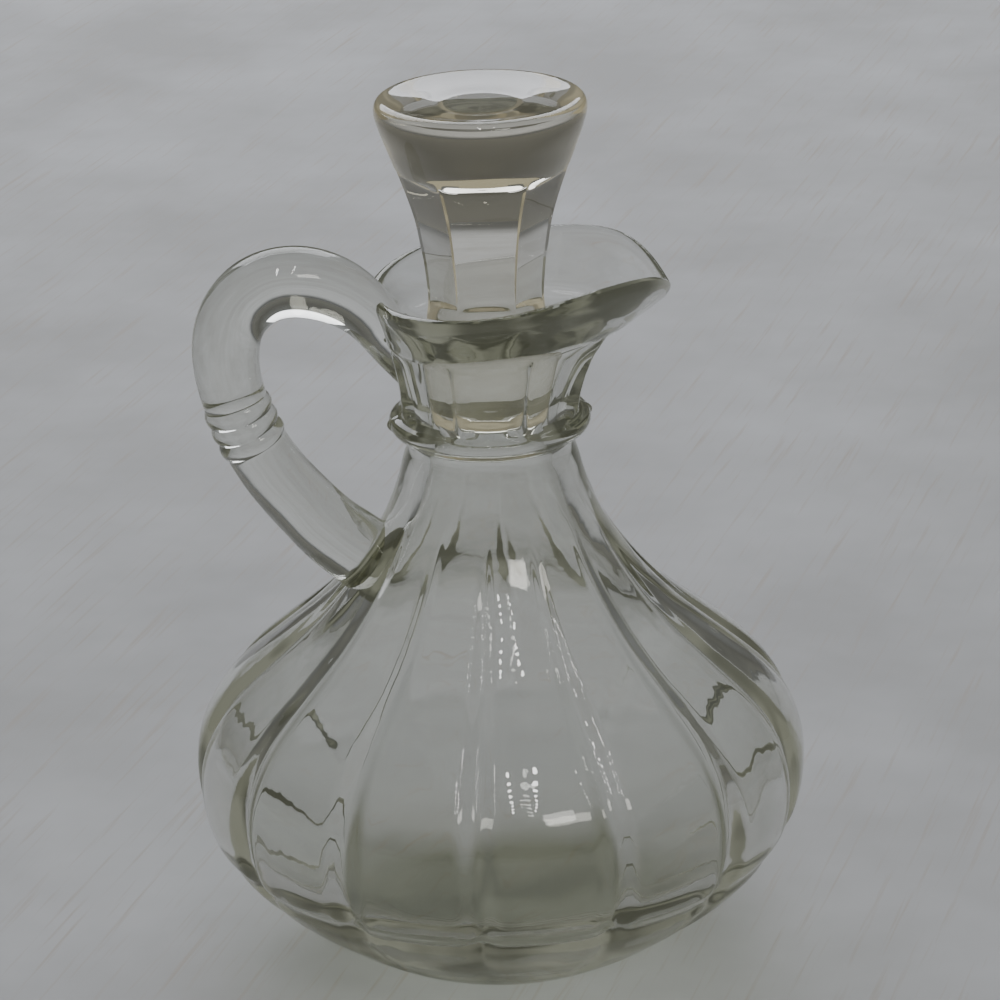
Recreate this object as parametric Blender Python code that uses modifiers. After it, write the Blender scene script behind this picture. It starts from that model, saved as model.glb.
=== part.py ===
"""Pressed-glass cruet: a fluted oil bottle with a handle and a spout, and its loose stopper.

Metres, +Z up.  The spout points along +X, the handle stands at -X, the foot rests on z = 0.
"""
import math

import bmesh
import bpy
import numpy as np

MM = 0.001

# whole piece
COLUMNS = 56                 # facets round the bottle
WALL = 4.4                   # glass thickness of the body wall, mm
FLOOR = 5.5                  # glass thickness under the cavity, mm

# outer side of the body, height and radius at the crest of a petal, mm
BODY = [(0.0, 20.0), (0.35, 21.6), (1.4, 24.4), (3.2, 27.6), (5.6, 31.2), (8.5, 35.0), (12.0, 39.4),
        (15.0, 42.6), (18.0, 45.2), (20.3, 46.8), (22.6, 48.2), (26.0, 49.4), (30.0, 49.95),
        (34.0, 49.9), (38.0, 49.0), (42.0, 47.0), (46.0, 43.8), (50.0, 39.4), (54.0, 34.6),
        (58.0, 30.0), (62.0, 26.1), (66.0, 22.8), (70.0, 20.0), (74.0, 17.7), (78.0, 16.0),
        (82.0, 14.7), (85.5, 13.7)]

# petals round the body
PETALS = 14                  # two of their grooves lie in the plane of handle and spout
PETAL_DOME = 0.5             # fall of the petal from crest to groove edge, mm
GROOVE = 1.1                 # further depth of the groove itself, mm
GROOVE_HALF = 3.6            # half width of the groove, degrees
SKIRT_Z = 20.3               # height of the crease under the petals, mm
SKIRT_DIP = 0.6              # depth of that crease, mm

# bead under the neck, neck and lip: height and radius before the spout is drawn out, mm
NECK = [(86.6, 13.15), (87.6, 13.1), (88.5, 13.9), (89.1, 15.3), (90.0, 15.95), (90.9, 16.1),
        (91.7, 15.7), (92.3, 14.7), (92.9, 14.3), (95.5, 14.4), (98.5, 14.65), (101.5, 15.1),
        (104.2, 15.65), (105.3, 16.35), (107.0, 16.8), (109.2, 17.3), (111.2, 17.8), (112.4, 18.1)]
RIM = [(113.15, 17.9), (113.5, 17.3), (113.3, 16.6), (112.6, 16.1)]
MOUTH = [(111.3, 15.2), (109.8, 13.9), (108.2, 12.6), (106.2, 11.3), (103.5, 10.3), (99.5, 9.75),
         (95.5, 9.25), (91.5, 8.85), (88.8, 8.8)]
NECK_PANELS = 8
NECK_TURN = -7.5             # turn of the neck panels from the plane of handle and spout, degrees
COLUMN_SHIFT = 15.0 - 2.0 * 360.0 / COLUMNS

# rim seen from above: angle from the spout, radius, height of its top, mm
RIM_PLAN = [(0, 30.0, 110.8), (25, 27.7, 115.8), (50, 23.3, 116.2), (75, 22.0, 115.2),
            (105, 21.6, 114.0), (140, 19.6, 112.9), (180, 18.1, 112.2)]
# how much of that pull reaches each height of the neck
PULL = [(92.5, 0.0), (96.0, 0.05), (99.0, 0.12), (102.0, 0.22), (105.0, 0.42), (107.0, 0.60),
        (109.0, 0.78), (111.0, 0.92), (113.5, 1.0)]

# handle: centre line in the plane of handle and spout, x, z and rod diameter, mm
HANDLE = [(-12.7, 97.8, 3.2), (-14.8, 102.8, 6.6), (-17.2, 107.4, 8.4), (-20.7, 111.6, 9.9),
          (-24.3, 114.0, 10.8),
          (-28.4, 115.4, 11.3), (-32.4, 115.6, 11.3), (-36.0, 114.5, 11.2), (-38.8, 112.2, 11.0),
          (-40.7, 108.8, 10.8), (-41.4, 104.6, 10.6), (-41.1, 100.2, 10.3), (-40.2, 96.2, 10.2),
          (-38.9, 92.4, 10.2), (-37.3, 88.8, 10.3), (-35.2, 85.0, 10.5), (-32.4, 81.0, 10.8),
          (-29.2, 77.0, 11.1), (-25.8, 73.2, 11.6), (-22.4, 70.2, 12.0), (-19.0, 67.0, 12.0)]
HANDLE_SIDES = 16
RING_FROM = 89.2             # height where the three rings begin, mm
RING_TO = 96.6
RING_COUNT = 3
RING_HIGH = 0.45             # how far a ring stands up from the rod, mm

# stopper, height and radius at its corners, mm
STOPPER = [(90.0, 5.6), (90.5, 6.9), (91.6, 8.0), (94.0, 8.7), (98.0, 9.15), (102.0, 9.6),
           (105.5, 9.75), (108.0, 9.4), (111.0, 9.1), (114.0, 9.3), (117.0, 9.6), (120.0, 10.1),
           (123.0, 10.6), (126.0, 11.4), (128.5, 12.2), (130.8, 13.0), (132.2, 13.5), (134.0, 14.2),
           (136.2, 15.0), (138.4, 15.8), (140.0, 16.3), (141.3, 16.6), (142.4, 16.55),
           (143.15, 16.0), (143.5, 15.2), (143.45, 14.2), (143.1, 12.2), (142.8, 9.6), (142.55, 7.6),
           (142.35, 6.6), (142.3, 4.0)]
STOPPER_SIDES = 6
STOPPER_COLUMNS = 36
STOPPER_TURN = -98.0         # one flat of the stopper looks this way, degrees from the spout


def smooth_step(value):
    """Ease from 0 to 1."""
    value = np.clip(value, 0.0, 1.0)
    return value * value * (3.0 - 2.0 * value)


def natural_curve(knots, values, at):
    """Smooth curve through the knots with level ends, for the rim seen from above."""
    knots = np.asarray(knots, float)
    values = np.asarray(values, float)
    count = len(knots)
    step = np.diff(knots)
    rows = np.zeros((count, count))
    side = np.zeros(count)
    rows[0, 0] = 1.0
    rows[-1, -1] = 1.0
    for k in range(1, count - 1):
        rows[k, k - 1] = step[k]
        rows[k, k] = 2.0 * (step[k - 1] + step[k])
        rows[k, k + 1] = step[k - 1]
        rise = (values[k] - values[k - 1]) / step[k - 1]
        run = (values[k + 1] - values[k]) / step[k]
        side[k] = 3.0 * (step[k] * rise + step[k - 1] * run)
    slope = np.linalg.solve(rows, side)
    at = np.clip(at, knots[0], knots[-1])
    place = np.clip(np.searchsorted(knots, at, side="right") - 1, 0, count - 2)
    width = step[place]
    part = (at - knots[place]) / width
    first = (1 + 2 * part) * (1 - part) ** 2 * values[place] + part * (1 - part) ** 2 * width * slope[place]
    last = part ** 2 * (3 - 2 * part) * values[place + 1] - part ** 2 * (1 - part) * width * slope[place + 1]
    return first + last


def material(name, colour, roughness):
    """Clear glass material for one sub-part."""
    made = bpy.data.materials.new(name)
    made.use_nodes = True
    shader = made.node_tree.nodes["Principled BSDF"]
    shader.inputs["Base Color"].default_value = colour
    shader.inputs["Roughness"].default_value = roughness
    shader.inputs["IOR"].default_value = 1.51
    shader.inputs["Transmission Weight"].default_value = 1.0
    made.diffuse_color = colour
    return made


def profile_object(name, points, steps, collection):
    """Turn a height and radius profile round the Z axis with a Screw modifier."""
    mesh = bpy.data.meshes.new(name + "_profile")
    corners = [(radius * MM, 0.0, height * MM) for height, radius in points]
    edges = [(k, k + 1) for k in range(len(corners) - 1)]
    mesh.from_pydata(corners, edges, [])
    thing = bpy.data.objects.new(name, mesh)
    collection.objects.link(thing)
    screw = thing.modifiers.new("turn", "SCREW")
    screw.axis = "Z"
    screw.angle = 2.0 * math.pi
    screw.steps = steps
    screw.render_steps = steps
    screw.use_merge_vertices = True
    screw.merge_threshold = 0.00001
    screw.use_normal_calculate = True
    return thing


def baked(thing):
    """Mesh of the object with its modifiers applied, as a new mesh."""
    bpy.context.view_layer.update()
    graph = bpy.context.evaluated_depsgraph_get()
    return bpy.data.meshes.new_from_object(thing.evaluated_get(graph))


def use_mesh(thing, mesh):
    """Give the object this mesh and drop its modifiers."""
    thing.modifiers.clear()
    thing.data = mesh


def outward(mesh):
    """Weld doubled corners and turn every face outwards."""
    work = bmesh.new()
    work.from_mesh(mesh)
    bmesh.ops.remove_doubles(work, verts=work.verts, dist=0.00001)
    bmesh.ops.recalc_face_normals(work, faces=work.faces)
    work.to_mesh(mesh)
    work.free()


def inner_wall():
    """Inside of the body: the outer side moved inwards by the wall, floor to neck."""
    heights = np.array([point[0] for point in BODY])
    radii = np.array([point[1] for point in BODY])
    across = np.gradient(radii)
    up = np.gradient(heights)
    size = np.hypot(across, up)
    inside_r = radii - WALL * up / size
    inside_z = heights + WALL * across / size
    points = [(FLOOR, 0.0), (FLOOR, 9.0), (FLOOR + 0.15, 16.0), (FLOOR + 0.9, 22.5)]
    for height, radius in zip(inside_z, inside_r):
        if height > FLOOR + 2.4 and radius > 9.3 and height < 86.0:
            if height > points[-1][0] + 1.2:
                points.append((float(height), float(radius)))
    return points


def bottle_profile():
    """Closed profile from the cavity floor up, over the rim and down the outside."""
    inside = inner_wall()
    inside += list(reversed(MOUTH))
    rim = list(reversed(RIM))
    outside = list(reversed(NECK)) + list(reversed(BODY)) + [(0.0, 0.0)]
    points = inside + rim + outside
    outer_from = len(inside) + len(rim)
    return points, outer_from


def shape_bottle(mesh, points, outer_from):
    """Press the petals and panels into the turned bottle and draw out its spout."""
    spots = np.array([vertex.co[:] for vertex in mesh.vertices]) / MM
    radius = np.hypot(spots[:, 0], spots[:, 1])
    turn = np.degrees(np.arctan2(spots[:, 1], spots[:, 0]))
    height = spots[:, 2].copy()
    table = np.array([(r, z) for z, r in points])
    gap = (radius[:, None] - table[None, :, 0]) ** 2 + (height[:, None] - table[None, :, 1]) ** 2
    row = gap.argmin(axis=1)
    outer = row >= outer_from

    # gather the columns towards the grooves so that a groove stays narrow
    pitch = 360.0 / PETALS
    within = turn % pitch - pitch / 2.0
    share = np.abs(within) / (pitch / 2.0)
    edge = 1.0 - GROOVE_HALF / (pitch / 2.0)
    moved = np.where(share < 0.5, share * 2.0 * edge, edge + (share - 0.5) * 2.0 * (1.0 - edge))
    body_part = smooth_step((88.0 - height) / 6.0) * smooth_step((height - 1.0) / 3.0)
    wanted = np.sign(within) * moved * pitch / 2.0
    turn_new = turn + body_part * (wanted - within)
    share_new = np.abs(turn_new % pitch - pitch / 2.0) / (pitch / 2.0)

    # petals, grooves and the crease below them
    petal_reach = smooth_step((80.0 - height) / 24.0) * smooth_step((height - 10.0) / 16.0)
    low_reach = smooth_step((height - 3.0) / 8.0) * smooth_step((SKIRT_Z - height) / 4.0)
    reach = np.maximum(petal_reach, 0.55 * low_reach)
    dome = PETAL_DOME * share_new ** 2
    valley = GROOVE * smooth_step((share_new - edge) / (1.0 - edge))
    skirt = SKIRT_DIP * np.exp(-((height - SKIRT_Z) / 1.2) ** 2)
    cut = reach * (dome + valley) * np.clip(radius / 40.0, 0.25, 1.0) + skirt
    new_radius = np.where(outer & (height < 87.0) & (radius > 1.0), radius - cut, radius)

    # flat panels of the neck; the columns shift a little so that one runs along each corner
    turn_new = turn_new + COLUMN_SHIFT * smooth_step((height - 88.0) / 3.0) * outer
    face = 360.0 / NECK_PANELS
    off = (turn_new - NECK_TURN + 90.0 + face / 2.0) % face - face / 2.0
    flat = math.cos(math.radians(face / 2.0)) / np.cos(np.radians(off))
    panel = smooth_step((height - 92.2) / 0.8) * smooth_step((105.0 - height) / 1.6)
    grown = radius * (1.0 + 0.045)
    new_radius = np.where(outer & (height > 92.0) & (height < 105.3),
                          radius * (1.0 - panel) + grown * flat * panel, new_radius)

    # rim and spout drawn out of the round
    angle = np.abs((turn_new + 180.0) % 360.0 - 180.0)
    knots = [point[0] for point in RIM_PLAN]
    plan_r = natural_curve(knots, [point[1] for point in RIM_PLAN], angle)
    plan_z = natural_curve(knots, [point[2] for point in RIM_PLAN], angle)
    pull = np.interp(height, [point[0] for point in PULL], [point[1] for point in PULL])
    new_radius = new_radius + pull * (plan_r - 18.1)
    height = height + pull * (plan_z - 113.5)

    spots[:, 0] = new_radius * np.cos(np.radians(turn_new))
    spots[:, 1] = new_radius * np.sin(np.radians(turn_new))
    spots[:, 2] = height
    for vertex, spot in zip(mesh.vertices, spots * MM):
        vertex.co = spot


def make_handle(collection):
    """Round glass rod bent into the handle, with three pressed rings."""
    path = np.array([(x, z) for x, z, _ in HANDLE])
    wide = np.array([d for _, _, d in HANDLE])
    run = np.concatenate([[0.0], np.cumsum(np.hypot(*np.diff(path, axis=0).T))])
    ring_span = [np.interp(-RING_TO, -path[6:, 1], run[6:]), np.interp(-RING_FROM, -path[6:, 1], run[6:])]
    stations = list(np.linspace(0.0, ring_span[0], 16, endpoint=False))
    stations += list(np.linspace(ring_span[0], ring_span[1], RING_COUNT * 4 + 1))
    stations += list(np.linspace(ring_span[1], run[-1], 11)[1:])
    stations = np.array(stations)
    x = natural_curve(run, path[:, 0], stations)
    z = natural_curve(run, path[:, 1], stations)
    thick = natural_curve(run, wide, stations) / 2.0
    phase = (stations - ring_span[0]) / (ring_span[1] - ring_span[0])
    ring = np.where((phase > 0.0) & (phase < 1.0), np.sin(math.pi * RING_COUNT * phase) ** 2, 0.0)
    thick = thick + RING_HIGH * ring

    curve = bpy.data.curves.new("handle_path", "CURVE")
    curve.dimensions = "3D"
    curve.bevel_depth = MM
    curve.bevel_resolution = HANDLE_SIDES // 4
    curve.use_fill_caps = True
    line = curve.splines.new("POLY")
    line.points.add(len(stations) - 1)
    for point, px, pz, pr in zip(line.points, x, z, thick):
        point.co = (px * MM, 0.0, pz * MM, 1.0)
        point.radius = pr
    shape = bpy.data.objects.new("handle_shape", curve)
    collection.objects.link(shape)
    mesh = baked(shape)
    work = bmesh.new()
    work.from_mesh(mesh)
    bmesh.ops.remove_doubles(work, verts=work.verts, dist=0.00001)
    bmesh.ops.recalc_face_normals(work, faces=work.faces)
    work.to_mesh(mesh)
    work.free()
    bpy.data.objects.remove(shape)
    rod = bpy.data.objects.new("handle_rod", mesh)
    collection.objects.link(rod)
    return rod


def shape_stopper(mesh):
    """Press six flats into the turned stopper."""
    for vertex in mesh.vertices:
        x, y, z = (value / MM for value in vertex.co)
        radius = math.hypot(x, y)
        if radius < 0.5:
            continue
        turn = math.degrees(math.atan2(y, x))
        face = 360.0 / STOPPER_SIDES
        off = (turn - STOPPER_TURN + face / 2.0) % face - face / 2.0
        flat = math.cos(math.radians(face / 2.0)) / math.cos(math.radians(off))
        reach = float(smooth_step((z - 106.8) / 2.0) * smooth_step((132.8 - z) / 1.6))
        radius = radius * (1.0 - reach + reach * flat)
        spin = math.radians(turn)
        vertex.co = (radius * math.cos(spin) * MM, radius * math.sin(spin) * MM, vertex.co[2])


def shade(thing, degrees):
    """Smooth shading, with edges sharper than the angle left crisp."""
    for face in thing.data.polygons:
        face.use_smooth = True
    thing.data.set_sharp_from_angle(angle=math.radians(degrees))


def build():
    for thing in list(bpy.data.objects):
        bpy.data.objects.remove(thing, do_unlink=True)
    scene = bpy.context.scene
    scene.unit_settings.system = "METRIC"
    scene.unit_settings.length_unit = "METERS"
    parts = bpy.data.collections.new("cruet")
    tools = bpy.data.collections.new("cruet_tools")
    scene.collection.children.link(parts)
    scene.collection.children.link(tools)

    # the bottle is turned, pressed into petals and panels, and its spout drawn out
    points, outer_from = bottle_profile()
    bottle = profile_object("cruet", points, COLUMNS, parts)
    mesh = baked(bottle)
    use_mesh(bottle, mesh)
    shape_bottle(mesh, points, outer_from)
    outward(mesh)

    # the handle joins the bottle as one piece of glass; its hidden ends stop inside the wall
    rod = make_handle(tools)
    rod.hide_render = True
    rod.display_type = "WIRE"
    join = bottle.modifiers.new("handle", "BOOLEAN")
    join.operation = "UNION"
    join.solver = "EXACT"
    join.object = rod
    joined = baked(bottle)
    use_mesh(bottle, joined)
    outward(joined)
    joined.materials.clear()
    joined.materials.append(material("pressed_glass", (0.93, 0.95, 0.93, 1.0), 0.02))
    shade(bottle, 32.0)
    bottle["material"] = "pressed_glass"

    # the stopper is turned the same way and gets its six flats
    stopper_points = [(90.0, 0.0)] + STOPPER + [(142.3, 0.0)]
    stopper = profile_object("stopper", list(reversed(stopper_points)), STOPPER_COLUMNS, parts)
    mesh = baked(stopper)
    use_mesh(stopper, mesh)
    shape_stopper(mesh)
    outward(mesh)
    mesh.materials.clear()
    mesh.materials.append(material("stopper_glass", (0.93, 0.95, 0.92, 1.0), 0.02))
    shade(stopper, 25.0)
    stopper["material"] = "stopper_glass"


build()
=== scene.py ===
import math

import bmesh
import bpy
import numpy as np
from mathutils import Matrix, Vector


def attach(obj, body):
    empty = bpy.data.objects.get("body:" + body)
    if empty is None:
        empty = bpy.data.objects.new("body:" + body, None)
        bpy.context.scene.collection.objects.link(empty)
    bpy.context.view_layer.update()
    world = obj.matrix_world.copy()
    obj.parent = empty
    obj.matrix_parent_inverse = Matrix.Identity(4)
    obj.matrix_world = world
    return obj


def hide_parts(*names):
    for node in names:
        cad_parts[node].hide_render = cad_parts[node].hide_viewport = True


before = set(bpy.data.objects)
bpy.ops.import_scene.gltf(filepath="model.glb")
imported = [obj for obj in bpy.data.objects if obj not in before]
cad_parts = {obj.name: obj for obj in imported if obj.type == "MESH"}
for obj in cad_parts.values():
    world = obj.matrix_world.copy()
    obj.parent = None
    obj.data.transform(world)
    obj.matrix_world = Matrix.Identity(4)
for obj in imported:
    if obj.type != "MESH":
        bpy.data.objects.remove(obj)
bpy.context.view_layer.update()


# The view.  The cruet is seen from the front and from about 22 degrees above the board, with the
# spout on the right and turned a little away, through a long lens held slightly off level.
VIEW_TURN = math.radians(-8.0)    # round the cruet, from straight in front
VIEW_TILT = math.radians(21.85)   # above the board
VIEW_ROLL = math.radians(-1.8)
VIEW_FAR = 0.600                  # metres from lens to cruet
AIM = Vector((0.0, 0.0, 0.0763))

back = Vector((math.sin(VIEW_TURN) * math.cos(VIEW_TILT),
               -math.cos(VIEW_TURN) * math.cos(VIEW_TILT),
               math.sin(VIEW_TILT)))
level = (-back).cross(Vector((0.0, 0.0, 1.0))).normalized()
upright = level.cross(-back)
side = level * math.cos(VIEW_ROLL) + upright * math.sin(VIEW_ROLL)
top = upright * math.cos(VIEW_ROLL) - level * math.sin(VIEW_ROLL)
eye = AIM + back * VIEW_FAR

lens = bpy.data.cameras.new("lens")
lens.sensor_width = 36.0
lens.lens = 134.4
lens.shift_x = 0.0075
lens.clip_start = 0.02
lens.clip_end = 20.0
camera = bpy.data.objects.new("camera", lens)
camera.matrix_world = Matrix(((side.x, top.x, back.x, eye.x),
                              (side.y, top.y, back.y, eye.y),
                              (side.z, top.z, back.z, eye.z),
                              (0.0, 0.0, 0.0, 1.0)))
bpy.context.scene.collection.objects.link(camera)
bpy.context.scene.camera = camera


# The bottle: clear soda-lime glass pressed in a mould, fire polished afterwards.  Fourteen convex
# petals run down the body and draw in under a soft crease above the foot; the neck above the bead
# has eight flat panels, and the lip is drawn out into a wide spout while it is still soft.
# Sizes are in millimetres, and each outline lists heights and radii.
MM = 0.001
WALL = 4.4           # thickness of the side
FLOOR = 5.5          # thickness under the oil
COLUMNS = 392        # points round the bottle
BODY = [(0.35, 21.6), (1.4, 24.4), (3.2, 27.6), (5.6, 31.2), (8.5, 35.0), (12.0, 39.4),
        (15.0, 42.6), (18.0, 45.2), (20.3, 46.8), (22.6, 48.2), (26.0, 49.4), (30.0, 49.95),
        (34.0, 49.9), (38.0, 49.0), (42.0, 47.0), (46.0, 43.8), (50.0, 39.4), (54.0, 34.6),
        (58.0, 30.0), (62.0, 26.1), (66.0, 22.8), (70.0, 20.0), (74.0, 17.7), (78.0, 16.0),
        (82.0, 14.7), (85.5, 13.7), (86.6, 13.2)]
FOOT = [(0.0, 20.0), (0.08, 20.9), (0.35, 21.6)]
BEAD = [(87.7, 13.15), (88.3, 13.5), (88.75, 14.5), (89.2, 15.4), (90.0, 15.98), (90.9, 16.08),
        (91.6, 15.7), (92.0, 14.9), (92.3, 14.5)]
NECK = [(92.9, 14.3), (95.5, 14.4), (98.5, 14.65), (101.5, 15.1), (104.2, 15.6)]
LIP = [(104.7, 15.95), (105.2, 16.35), (107.0, 16.8), (109.2, 17.3), (111.2, 17.8), (112.4, 18.05)]
RIM = [(113.15, 17.85), (113.48, 17.3), (113.3, 16.65), (112.6, 16.1)]
MOUTH = [(111.3, 15.2), (109.8, 13.9), (108.2, 12.6), (106.2, 11.3), (103.5, 10.3), (99.5, 9.75),
         (95.5, 9.25), (91.5, 8.85), (88.8, 8.8)]
BODY_TOP = 87.3      # the petals end below this height
PETALS = 14
PETAL_DOME = 0.5     # fall of a petal from its crest to the edge of the groove
GROOVE = 1.1         # further depth of the groove
GROOVE_HALF = 4.2    # half width of the groove, degrees
SKIRT_Z = 20.3       # height of the crease under the petals
SKIRT_DIP = 0.6      # depth of that crease
SKIRT_HALF = 1.3     # half width of that crease
NECK_PANELS = 8
NECK_TURN = -7.5     # turn of the panels, degrees
PANELS_FROM = 92.2
PANELS_TO = 105.0
PANEL_OUT = 1.045    # how far the corners between panels stand out of the round
SEAM_HIGH = 0.04     # mould seam on the body
SEAM_ON_BEAD = 0.4   # and where it crosses the bead
SEAM_HALF = 0.9      # half width of the seam, degrees
RIM_RADIUS = 18.1    # of the round rim, before the spout is drawn out
RIM_TOP = 113.5
# the finished rim seen from above: angle from the spout in degrees, radius, height of its top
RIM_PLAN = [(0, 30.0, 110.8), (25, 27.7, 115.8), (50, 23.3, 116.2), (75, 22.0, 115.2),
            (105, 21.6, 114.0), (140, 19.6, 112.9), (180, 18.1, 112.2)]
# how much of that pull reaches each height of the neck
PULL = [(92.5, 0.0), (96.0, 0.05), (99.0, 0.12), (102.0, 0.22), (105.0, 0.42), (107.0, 0.60),
        (109.0, 0.78), (111.0, 0.92), (113.5, 1.0)]


def ease(value):
    value = np.clip(value, 0.0, 1.0)
    return value * value * (3.0 - 2.0 * value)


def curve_through(knots, values, at):
    """A smooth curve through the values at the knots, read at the given places."""
    knots = np.asarray(knots, float)
    values = np.asarray(values, float)
    count = len(knots)
    step = np.diff(knots)
    rows = np.zeros((count, count))
    push = np.zeros(count)
    rows[0, 0] = 1.0
    rows[-1, -1] = 1.0
    for k in range(1, count - 1):
        rows[k, k - 1] = step[k]
        rows[k, k] = 2.0 * (step[k - 1] + step[k])
        rows[k, k + 1] = step[k - 1]
        rise = (values[k] - values[k - 1]) / step[k - 1]
        run = (values[k + 1] - values[k]) / step[k]
        push[k] = 3.0 * (step[k] * rise + step[k - 1] * run)
    push[0] = (values[1] - values[0]) / step[0]
    push[-1] = (values[-1] - values[-2]) / step[-1]
    slope = np.linalg.solve(rows, push)
    at = np.clip(at, knots[0], knots[-1])
    place = np.clip(np.searchsorted(knots, at, side="right") - 1, 0, count - 2)
    width = step[place]
    part = (at - knots[place]) / width
    start = (1 + 2 * part) * (1 - part) ** 2 * values[place]
    start = start + part * (1 - part) ** 2 * width * slope[place]
    end = part ** 2 * (3 - 2 * part) * values[place + 1]
    return start + end - part ** 2 * (1 - part) * width * slope[place + 1]


def profile_line(points, spacing):
    """Smooth line through heights and radii, sampled every so many millimetres."""
    points = np.asarray(points, float)
    run = np.concatenate([[0.0], np.cumsum(np.hypot(*np.diff(points, axis=0).T))])
    count = max(int(run[-1] / spacing), 4)
    at = np.linspace(0.0, run[-1], count + 1)
    height = curve_through(run, points[:, 0], at)
    radius = curve_through(run, points[:, 1], at)
    return np.stack([height, radius], axis=1)


def cavity_line():
    """The inside of the body follows the outside at the thickness of the wall."""
    outside = profile_line(BODY, 1.0)
    along = np.gradient(outside, axis=0)
    size = np.hypot(along[:, 0], along[:, 1])
    height = outside[:, 0] + WALL * along[:, 1] / size
    radius = outside[:, 1] - WALL * along[:, 0] / size
    keep = (height > FLOOR + 3.2) & (height < BODY[-2][0]) & (radius > 9.2)
    points = [(FLOOR, 6.0), (FLOOR, 12.0), (FLOOR + 0.2, 17.0), (FLOOR + 1.1, 22.6)]
    for z, r in zip(height[keep][::3], radius[keep][::3]):
        points.append((z, r))
    return points


def bottle_rows():
    """Heights and radii from the floor of the inside, over the rim, and down to the foot."""
    inside = profile_line(cavity_line() + list(reversed(MOUTH)), 1.5)
    rim = profile_line(list(reversed(RIM)), 0.35)
    lip = profile_line(list(reversed(LIP + RIM[:1])), 0.7)
    neck = profile_line(list(reversed(NECK)), 1.0)
    bead = profile_line(list(reversed(BEAD)), 0.35)
    body = profile_line(list(reversed(BODY)), 0.8)
    foot = profile_line(list(reversed(FOOT)), 0.25)
    rows = np.concatenate([inside, rim, lip[1:], neck, bead, body, foot[1:]])
    outside_from = len(inside) + len(rim)
    return rows, outside_from


def pressed_bottle(rows, outside_from):
    height = np.repeat(rows[:, :1], COLUMNS, axis=1)
    radius = np.repeat(rows[:, 1:], COLUMNS, axis=1)
    outer = np.arange(len(rows))[:, None] >= outside_from
    turn = np.repeat(np.arange(COLUMNS)[None, :] * 360.0 / COLUMNS, len(rows), axis=0)

    # two grooves lie in the plane of handle and spout, where the mould halves met
    half = 180.0 / PETALS
    share = np.abs(turn % (2 * half) - half) / half
    edge = 1.0 - GROOVE_HALF / half
    reach = ease((80.0 - height) / 24.0) * ease((height - 11.0) / 13.0)
    low = 0.55 * ease((height - 3.0) / 8.0) * ease((SKIRT_Z + 3.0 - height) / 6.0)
    dome = PETAL_DOME * share ** 2
    valley = GROOVE * ease((share - edge) / (1.0 - edge))
    scale = np.clip(radius / 40.0, 0.25, 1.0)
    crease = SKIRT_DIP * np.exp(-((height - SKIRT_Z) / SKIRT_HALF) ** 2)
    cut = np.maximum(reach, low) * (dome + valley) * scale + crease
    body = outer & (height < BODY_TOP)
    radius = np.where(body, radius - cut, radius)

    # flat panels of the neck, crisp where they meet
    face = 360.0 / NECK_PANELS
    angle = (turn - NECK_TURN + 90.0 + face / 2.0) % face - face / 2.0
    flat = math.cos(math.radians(face / 2.0)) / np.cos(np.radians(angle))
    panel = ease((height - PANELS_FROM - 0.05) / 0.7) * ease((PANELS_TO - 0.1 - height) / 0.9)
    pressed = radius * PANEL_OUT * flat
    radius = np.where(outer & (height > PANELS_FROM) & (height < PANELS_TO),
                      radius * (1.0 - panel) + pressed * panel, radius)

    # the two halves of the mould met in the plane of handle and spout and left a fine seam
    seam = np.minimum(np.abs((turn + 180.0) % 360.0 - 180.0), np.abs(turn % 360.0 - 180.0))
    along = ease((height - 18.0) / 6.0) * ease((104.0 - height) / 4.0)
    fin = np.exp(-(seam / SEAM_HALF) ** 2) * outer * along
    on_bead = np.exp(-((height - 90.6) / 1.2) ** 2)
    radius = radius + fin * (SEAM_HIGH + SEAM_ON_BEAD * on_bead)

    # rim and spout drawn out of the round
    away = np.abs((turn + 180.0) % 360.0 - 180.0)
    knots = [point[0] for point in RIM_PLAN]
    plan = curve_through(knots, [point[1] for point in RIM_PLAN], away)
    rise = curve_through(knots, [point[2] for point in RIM_PLAN], away)
    pull = np.interp(height, [point[0] for point in PULL], [point[1] for point in PULL])
    radius = radius + pull * (plan - RIM_RADIUS)
    height = height + pull * (rise - RIM_TOP)

    spin = np.radians(turn)
    return np.stack([radius * np.cos(spin), radius * np.sin(spin), height], axis=2) * MM


def closed_skin(name, grid, first, last):
    """Close a grid of rings with a point at each end into one skin."""
    rings, columns = grid.shape[:2]
    corners = [first] + grid.reshape(-1, 3).tolist() + [last]
    faces = []
    for ring in range(rings - 1):
        low = 1 + ring * columns
        for column in range(columns):
            beside = (column + 1) % columns
            faces.append((low + column, low + beside,
                          low + columns + beside, low + columns + column))
    tail = 1 + (rings - 1) * columns
    for column in range(columns):
        beside = (column + 1) % columns
        faces.append((0, 1 + beside, 1 + column))
        faces.append((len(corners) - 1, tail + column, tail + beside))
    mesh = bpy.data.meshes.new(name)
    mesh.from_pydata(corners, [], faces)
    work = bmesh.new()
    work.from_mesh(mesh)
    bmesh.ops.recalc_face_normals(work, faces=work.faces)
    work.to_mesh(mesh)
    work.free()
    skin = bpy.data.objects.new(name, mesh)
    bpy.context.scene.collection.objects.link(skin)
    return skin


rows, outside_from = bottle_rows()
bottle = closed_skin("pressed_bottle", pressed_bottle(rows, outside_from),
                     (0.0, 0.0, FLOOR * MM), (0.0, 0.0, 0.0))


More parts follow.
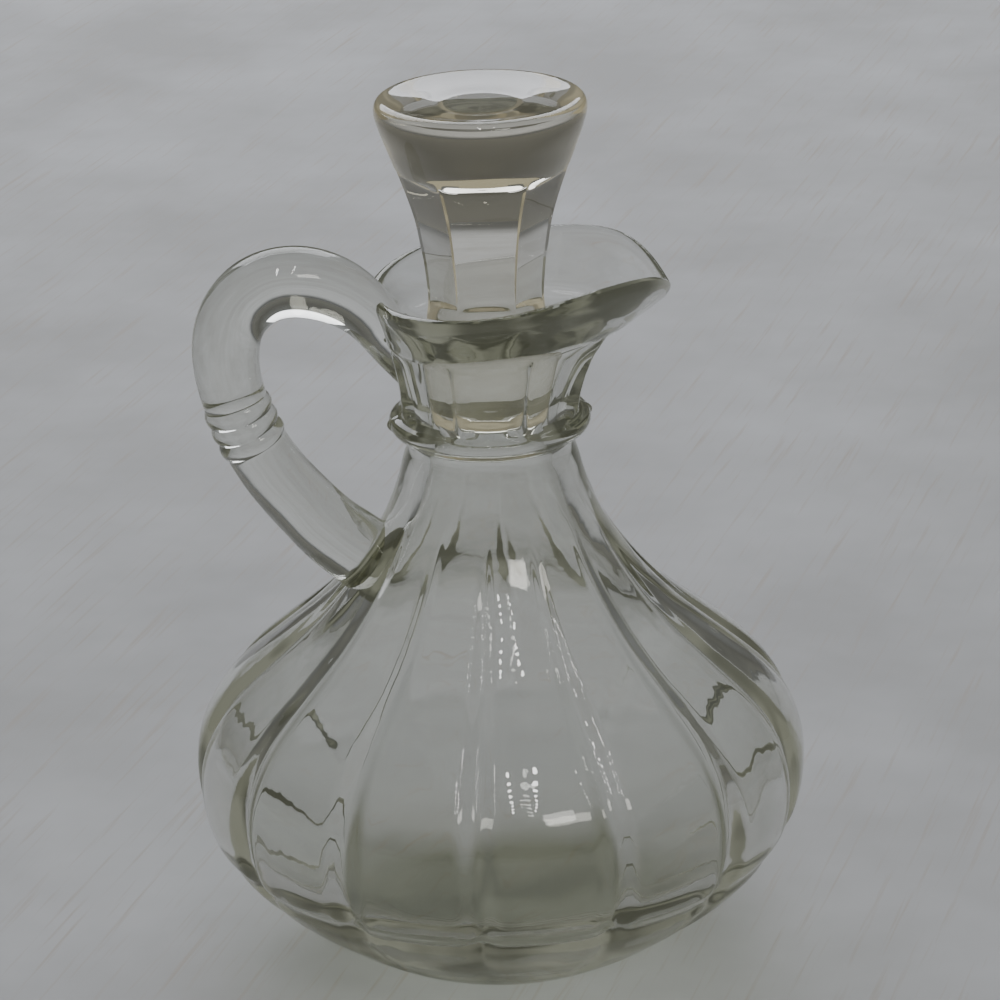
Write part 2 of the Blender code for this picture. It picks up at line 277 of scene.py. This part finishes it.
# The handle: a round rod of the same glass, pressed with the bottle and one piece with it.  It
# leaves the lip, loops back and meets the shoulder, with three rings where the thumb rests.
# Its centre line lies in one plane and lists x, height and thickness.
HANDLE = [(-12.7, 97.8, 3.2), (-14.8, 102.8, 6.6), (-17.2, 107.4, 8.4), (-20.7, 111.6, 9.9),
          (-24.3, 114.0, 10.8), (-28.4, 115.4, 11.3), (-32.4, 115.6, 11.3), (-36.0, 114.5, 11.2),
          (-38.8, 112.2, 11.0), (-40.7, 108.8, 10.8), (-41.4, 104.6, 10.6), (-41.1, 100.2, 10.3),
          (-40.2, 96.2, 10.2), (-38.9, 92.4, 10.2), (-37.3, 88.8, 10.3), (-35.2, 85.0, 10.5),
          (-32.4, 81.0, 10.8), (-29.2, 77.0, 11.1), (-25.8, 73.2, 11.6), (-22.4, 70.2, 12.0),
          (-19.0, 67.0, 12.0)]
RING_FROM = 89.2     # heights between which the rings stand, on the outer run of the rod
RING_TO = 96.6
RINGS = 3
RING_HIGH = 0.45
OUTER_RUN = 6        # first point of HANDLE on the run down


def ringed_rod():
    line = np.array(HANDLE)
    run = np.concatenate([[0.0], np.cumsum(np.hypot(*np.diff(line[:, :2], axis=0).T))])
    start = np.interp(-RING_TO, -line[OUTER_RUN:, 1], run[OUTER_RUN:])
    stop = np.interp(-RING_FROM, -line[OUTER_RUN:, 1], run[OUTER_RUN:])
    stations = np.concatenate([np.linspace(0.0, start, 90, endpoint=False),
                               np.linspace(start, stop, 49),
                               np.linspace(stop, run[-1], 60)[1:]])
    x = curve_through(run, line[:, 0], stations)
    z = curve_through(run, line[:, 1], stations)
    thick = curve_through(run, line[:, 2], stations) / 2.0
    phase = (stations - start) / (stop - start)
    wave = np.abs(np.sin(math.pi * RINGS * phase)) ** 0.9
    ring = np.where((phase > 0.0) & (phase < 1.0), wave, 0.0)
    thick = thick + RING_HIGH * ring
    path = bpy.data.curves.new("handle_path", "CURVE")
    path.dimensions = "3D"
    path.bevel_depth = MM
    path.bevel_resolution = 14
    path.use_fill_caps = True
    spline = path.splines.new("POLY")
    spline.points.add(len(stations) - 1)
    for point, px, pz, pr in zip(spline.points, x, z, thick):
        point.co = (px * MM, 0.0, pz * MM, 1.0)
        point.radius = pr
    shape = bpy.data.objects.new("handle_shape", path)
    bpy.context.scene.collection.objects.link(shape)
    bpy.context.view_layer.update()
    graph = bpy.context.evaluated_depsgraph_get()
    mesh = bpy.data.meshes.new_from_object(shape.evaluated_get(graph))
    bpy.data.objects.remove(shape)
    work = bmesh.new()
    work.from_mesh(mesh)
    bmesh.ops.remove_doubles(work, verts=work.verts, dist=0.000005)
    bmesh.ops.recalc_face_normals(work, faces=work.faces)
    work.to_mesh(mesh)
    work.free()
    rod = bpy.data.objects.new("handle_rod", mesh)
    bpy.context.scene.collection.objects.link(rod)
    return rod


rod = ringed_rod()
join = bottle.modifiers.new("handle", "BOOLEAN")
join.operation = "UNION"
join.solver = "EXACT"
join.object = rod
bpy.context.view_layer.update()
graph = bpy.context.evaluated_depsgraph_get()
fused = bpy.data.meshes.new_from_object(bottle.evaluated_get(graph))
bottle.modifiers.clear()
bottle.data = fused
bpy.data.objects.remove(rod)
fused.shade_smooth()
fused.set_sharp_from_angle(angle=math.radians(38.0))


# Clear pressed soda-lime glass, fire polished: the surface is glossy but keeps a faint long ripple
# from the mould, and thick places look slightly olive because of iron in the sand.
LONG_RIPPLE = 12.5   # length of the ripple that the mould leaves
FINE_RIPPLE = 3.0    # length of the waviness of the fire polish
FINE_SHARE = 0.08    # its height beside the long one
MOST_HAZE = 0.035    # roughness of the dullest spots
ABSORBS = 26.0       # per metre, for a colour that takes all
# past this many turns the glass shows the painted glow instead of light
MOST_TURNS = 5.2     # light that has met more surfaces than this counts as spent
MIRROR_TURNS = 1.3   # a mirroring inside counts this much more


def linear(code):
    """An sRGB hex colour as linear values with an alpha of one."""
    values = [int(code[k:k + 2], 16) / 255.0 for k in (1, 3, 5)]
    parts = [v / 12.92 if v <= 0.04045 else ((v + 0.055) / 1.055) ** 2.4 for v in values]
    return tuple(parts) + (1.0,)


def socket(node, name):
    """The enabled input of that name: a mixing node keeps one set for each kind of data."""
    return [found for found in node.inputs if found.name == name and found.enabled][0]


def add(tree, kind, settings=None, **links):
    """Add a node, give it its settings, and link sockets of other nodes into it."""
    node = tree.nodes.new(kind)
    for name, value in (settings or {}).items():
        if hasattr(node, name) and name[0].islower():
            setattr(node, name, value)
        else:
            socket(node, name).default_value = value
    for name, source in links.items():
        tree.links.new(source, socket(node, name.replace("_", " ")))
    return node


def pressed_glass(name, tint, dark, pale, ripple):
    """Glass of one tint with a painted glow: dark and pale are the tones of the painted glow that
    stands in for its spent light, ripple is in metres.
    """
    made = bpy.data.materials.new(name)
    made.use_nodes = True
    tree = made.node_tree
    tree.nodes.clear()
    place = add(tree, "ShaderNodeTexCoord").outputs["Object"]
    # the long ripple of the mould, and the finer waviness and slight haze of the fire polish
    long_wave = add(tree, "ShaderNodeTexNoise",
                    {"Scale": 1.0 / (LONG_RIPPLE * MM), "Detail": 1.0, "Roughness": 0.4},
                    Vector=place)
    fine_wave = add(tree, "ShaderNodeTexNoise",
                    {"Scale": 1.0 / (FINE_RIPPLE * MM), "Detail": 1.0, "Roughness": 0.5},
                    Vector=place)
    first = add(tree, "ShaderNodeBump", {"Strength": 1.0, "Distance": ripple},
                Height=long_wave.outputs["Fac"])
    second = add(tree, "ShaderNodeBump", {"Strength": 1.0, "Distance": ripple * FINE_SHARE},
                 Height=fine_wave.outputs["Fac"], Normal=first.outputs["Normal"])
    haze = add(tree, "ShaderNodeMapRange",
               {"From Min": 0.45, "From Max": 0.75, "To Min": 0.0, "To Max": MOST_HAZE},
               Value=fine_wave.outputs["Fac"])
    glass = add(tree, "ShaderNodeBsdfPrincipled",
                {"Base Color": (0.955, 0.96, 0.942, 1.0), "IOR": 1.51, "Transmission Weight": 1.0},
                Roughness=haze.outputs["Result"], Normal=second.outputs["Normal"])
    body = add(tree, "ShaderNodeVolumeAbsorption", {"Color": linear(tint), "Density": ABSORBS})

    # painted glow: where light has turned many times inside, the glass glows a clouded olive grey
    # instead of going black
    path = add(tree, "ShaderNodeLightPath").outputs
    turns = add(tree, "ShaderNodeMath", {"operation": "MULTIPLY_ADD"})
    turns.inputs[1].default_value = MIRROR_TURNS
    tree.links.new(path["Glossy Depth"], turns.inputs[0])
    tree.links.new(path["Ray Depth"], turns.inputs[2])
    spent = add(tree, "ShaderNodeMath", {"operation": "GREATER_THAN"})
    spent.inputs[1].default_value = MOST_TURNS
    tree.links.new(turns.outputs[0], spent.inputs[0])
    patch = add(tree, "ShaderNodeMapRange",
                {"From Min": 0.4, "From Max": 0.6, "To Min": 0.0, "To Max": 1.0},
                Value=long_wave.outputs["Fac"])
    olive = add(tree, "ShaderNodeMix",
                {"data_type": "RGBA", "A": linear(dark), "B": linear(pale)},
                Factor=patch.outputs["Result"])
    painted_glow = add(tree, "ShaderNodeEmission", {"Strength": 1.0}, Color=olive.outputs[2])
    both = add(tree, "ShaderNodeMixShader")
    tree.links.new(spent.outputs[0], both.inputs[0])
    tree.links.new(glass.outputs["BSDF"], both.inputs[1])
    tree.links.new(painted_glow.outputs["Emission"], both.inputs[2])
    made.cycles.emission_sampling = "NONE"

    # lamps shine through the glass, so that its shadow on the board is faint
    clear = add(tree, "ShaderNodeBsdfTransparent", {"Color": (0.71, 0.72, 0.69, 1.0)})
    lit = add(tree, "ShaderNodeMixShader")
    tree.links.new(path["Is Shadow Ray"], lit.inputs[0])
    tree.links.new(both.outputs["Shader"], lit.inputs[1])
    tree.links.new(clear.outputs["BSDF"], lit.inputs[2])
    out = add(tree, "ShaderNodeOutputMaterial")
    tree.links.new(lit.outputs["Shader"], out.inputs["Surface"])
    tree.links.new(body.outputs["Volume"], out.inputs["Volume"])
    return made


fused.materials.clear()
# dark and pale are the tones of the painted glow in the bottle's glass
fused.materials.append(pressed_glass("pressed soda-lime glass", tint="#D2D4C0",
                                     dark="#4E4F45", pale="#84857A", ripple=0.0003))
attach(bottle, "root")
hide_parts("cruet")


# The stopper: solid pressed glass with six flats below a flared round head.  The plug is ground
# round to fit the neck, where it only rests, and the top is slightly dished.  Its glass is a
# little warmer and smoother than the bottle's.
STOPPER = [(90.5, 6.9), (91.6, 8.0), (94.0, 8.7), (98.0, 9.15), (102.0, 9.6),
           (105.5, 9.75), (108.0, 9.4), (111.0, 9.1), (114.0, 9.3), (117.0, 9.6), (120.0, 10.1),
           (123.0, 10.6), (126.0, 11.4), (128.5, 12.2), (130.8, 13.0), (132.2, 13.5), (134.0, 14.2),
           (136.2, 15.0), (138.4, 15.8), (140.0, 16.3), (141.3, 16.58), (142.4, 16.5),
           (143.15, 16.0), (143.48, 15.2), (143.42, 14.2), (143.1, 12.2), (142.8, 9.6),
           (142.55, 7.6), (142.38, 6.6), (142.32, 4.0), (142.3, 1.0)]
STOPPER_END = [(90.0, 4.0), (90.02, 5.6), (90.5, 6.9)]
FLATS = 6
FLATS_FROM = 106.8
FLATS_TO = 132.8
STOPPER_TURN = -98.0  # one flat looks this way, degrees from the spout
STOPPER_COLUMNS = 288


def pressed_stopper():
    rows = np.concatenate([profile_line(STOPPER_END, 0.4), profile_line(STOPPER, 0.45)[1:]])
    height = np.repeat(rows[:, :1], STOPPER_COLUMNS, axis=1)
    radius = np.repeat(rows[:, 1:], STOPPER_COLUMNS, axis=1)
    round_once = np.arange(STOPPER_COLUMNS)[None, :] * 360.0 / STOPPER_COLUMNS
    turn = np.repeat(round_once, len(rows), axis=0) + STOPPER_TURN
    face = 360.0 / FLATS
    angle = (turn - STOPPER_TURN + face / 2.0) % face - face / 2.0
    flat = math.cos(math.radians(face / 2.0)) / np.cos(np.radians(angle))
    reach = ease((height - FLATS_FROM) / 2.0) * ease((FLATS_TO - height) / 1.6)
    radius = radius * (1.0 - reach + reach * flat)
    spin = np.radians(turn)
    return np.stack([radius * np.cos(spin), radius * np.sin(spin), height], axis=2) * MM


stopper = closed_skin("pressed_stopper", pressed_stopper(),
                      (0.0, 0.0, STOPPER_END[0][0] * MM), (0.0, 0.0, STOPPER[-1][0] * MM))
stopper.data.shade_smooth()
stopper.data.set_sharp_from_angle(angle=math.radians(25.0))
# dark and pale are the tones of the painted glow in the stopper's glass
stopper.data.materials.append(pressed_glass("pressed stopper glass", tint="#ECE6D2",
                                            dark="#8B887A", pale="#B4AF9B", ripple=0.00008))
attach(stopper, "root")
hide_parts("stopper")


# The floor: a pale board, painted satin grey and well used, that runs past the view on every side.
# Wiping has left it faintly clouded and warm in places, with a few thin worn streaks.
BOARD = 3.0          # metres from its middle to each side
CLOUD = 70.0
STREAK_LONG = 40.0
STREAK_WIDE = 1.5
STREAK_TURN = 1.1    # radians from the plane of handle and spout


def painted_board():
    made = bpy.data.materials.new("satin grey paint, brushed on board")
    made.use_nodes = True
    tree = made.node_tree
    tree.nodes.clear()
    place = add(tree, "ShaderNodeTexCoord").outputs["Object"]
    # soft clouds, and streaks that run back and to the right, the way the board is wiped
    cloud = add(tree, "ShaderNodeTexNoise",
                {"Scale": 1.0 / (CLOUD * MM), "Detail": 4.0, "Roughness": 0.6}, Vector=place)
    tone = add(tree, "ShaderNodeMapRange",
               {"From Min": 0.35, "From Max": 0.7, "To Min": 0.0, "To Max": 1.0},
               Value=cloud.outputs["Fac"])
    paint = add(tree, "ShaderNodeMix",
                {"data_type": "RGBA", "A": linear("#A6A6A5"), "B": linear("#B9BABB")},
                Factor=tone.outputs["Result"])
    tilt = add(tree, "ShaderNodeMapping",
               {"vector_type": "TEXTURE", "Rotation": (0.0, 0.0, STREAK_TURN),
                "Scale": (STREAK_LONG * MM, STREAK_WIDE * MM, 1.0)},
               Vector=place)
    streak = add(tree, "ShaderNodeTexNoise", {"Scale": 1.0, "Detail": 3.0, "Roughness": 0.6},
                 Vector=tilt.outputs["Vector"])
    worn = add(tree, "ShaderNodeMapRange",
               {"From Min": 0.56, "From Max": 0.72, "To Min": 0.0, "To Max": 0.7},
               Value=streak.outputs["Fac"])
    surface_colour = add(tree, "ShaderNodeMix", {"data_type": "RGBA", "B": linear("#A79E94")},
                         A=paint.outputs[2], Factor=worn.outputs["Result"])
    surface = add(tree, "ShaderNodeBsdfPrincipled", {"Roughness": 0.6, "Specular IOR Level": 0.3},
                  Base_Color=surface_colour.outputs[2])
    out = add(tree, "ShaderNodeOutputMaterial")
    tree.links.new(surface.outputs["BSDF"], out.inputs["Surface"])
    return made


ground = bpy.data.meshes.new("board")
ground.from_pydata([(-BOARD, -BOARD, 0.0), (BOARD, -BOARD, 0.0),
                    (BOARD, BOARD, 0.0), (-BOARD, BOARD, 0.0)], [], [(0, 1, 2, 3)])
board = bpy.data.objects.new("board", ground)
board.location.z = -0.0002        # a hair below the foot, so that they don't share a face
ground.materials.append(painted_board())
bpy.context.scene.collection.objects.link(board)


# The light: an even grey room, cool overhead and warmer towards the viewer, a soft panel above and
# behind the cruet, a small window in front of it, and two rows of small bare lamps that show as
# dotted lines in the glass.  Places are in metres.
ROOM = [(0.0, "#84847F"), (0.12, "#6E6E6A"), (0.45, "#9EA1A4"), (0.9, "#C2C6CC")]
LAMPS_IN_ROW = 8
LAMP_GAP = 0.09
LAMP_RADIUS = 0.018
LAMP_POWER = 0.5

room = bpy.data.worlds.new("room")
room.use_nodes = True
bpy.context.scene.world = room
sky = room.node_tree
sky.nodes.clear()
ray = add(sky, "ShaderNodeSeparateXYZ", Vector=add(sky, "ShaderNodeTexCoord").outputs["Generated"])
rise = add(sky, "ShaderNodeValToRGB", Fac=ray.outputs["Z"])
for stop, (place, tone) in enumerate(ROOM):
    if stop > 1:
        rise.color_ramp.elements.new(place)
    rise.color_ramp.elements[stop].position = place
    rise.color_ramp.elements[stop].color = linear(tone)
near = add(sky, "ShaderNodeMapRange",
           {"From Min": 0.2, "From Max": -0.8, "To Min": 0.0, "To Max": 0.8},
           Value=ray.outputs["Y"])
warm = add(sky, "ShaderNodeMix",
           {"data_type": "RGBA", "blend_type": "MULTIPLY", "B": linear("#E6DCC2")},
           A=rise.outputs["Color"], Factor=near.outputs["Result"])
shade = add(sky, "ShaderNodeBackground", {"Strength": 0.64}, Color=warm.outputs[2])
sky.links.new(shade.outputs["Background"], add(sky, "ShaderNodeOutputWorld").inputs["Surface"])


def soft_light(name, place, towards, size, power, colour):
    lamp = bpy.data.lights.new(name, "AREA")
    lamp.shape = "RECTANGLE"
    lamp.size = size[0]
    lamp.size_y = size[1]
    lamp.energy = power
    lamp.color = linear(colour)[:3]
    held = bpy.data.objects.new(name, lamp)
    held.location = place
    held.rotation_euler = (Vector(towards) - Vector(place)).to_track_quat("-Z", "Y").to_euler()
    bpy.context.scene.collection.objects.link(held)


soft_light("ceiling panel", (0.0, 0.95, 0.82), (0.0, 0.3, 0.0), (1.2, 0.8), 10.8, "#F6F8FF")
soft_light("small window", (0.32, -1.0, 0.85), (0.0, 0.0, 0.05), (0.34, 0.2), 1.7, "#FFFDF6")

for row, across in enumerate((-0.16, 0.10)):
    for number in range(LAMPS_IN_ROW):
        bulb = bpy.data.lights.new("small lamp", "POINT")
        bulb.shadow_soft_size = LAMP_RADIUS
        bulb.energy = LAMP_POWER
        hung = bpy.data.objects.new("small lamp", bulb)
        hung.location = (across + 0.006 * number, -1.10 + LAMP_GAP * number, 1.15 + 0.01 * row)
        bpy.context.scene.collection.objects.link(hung)
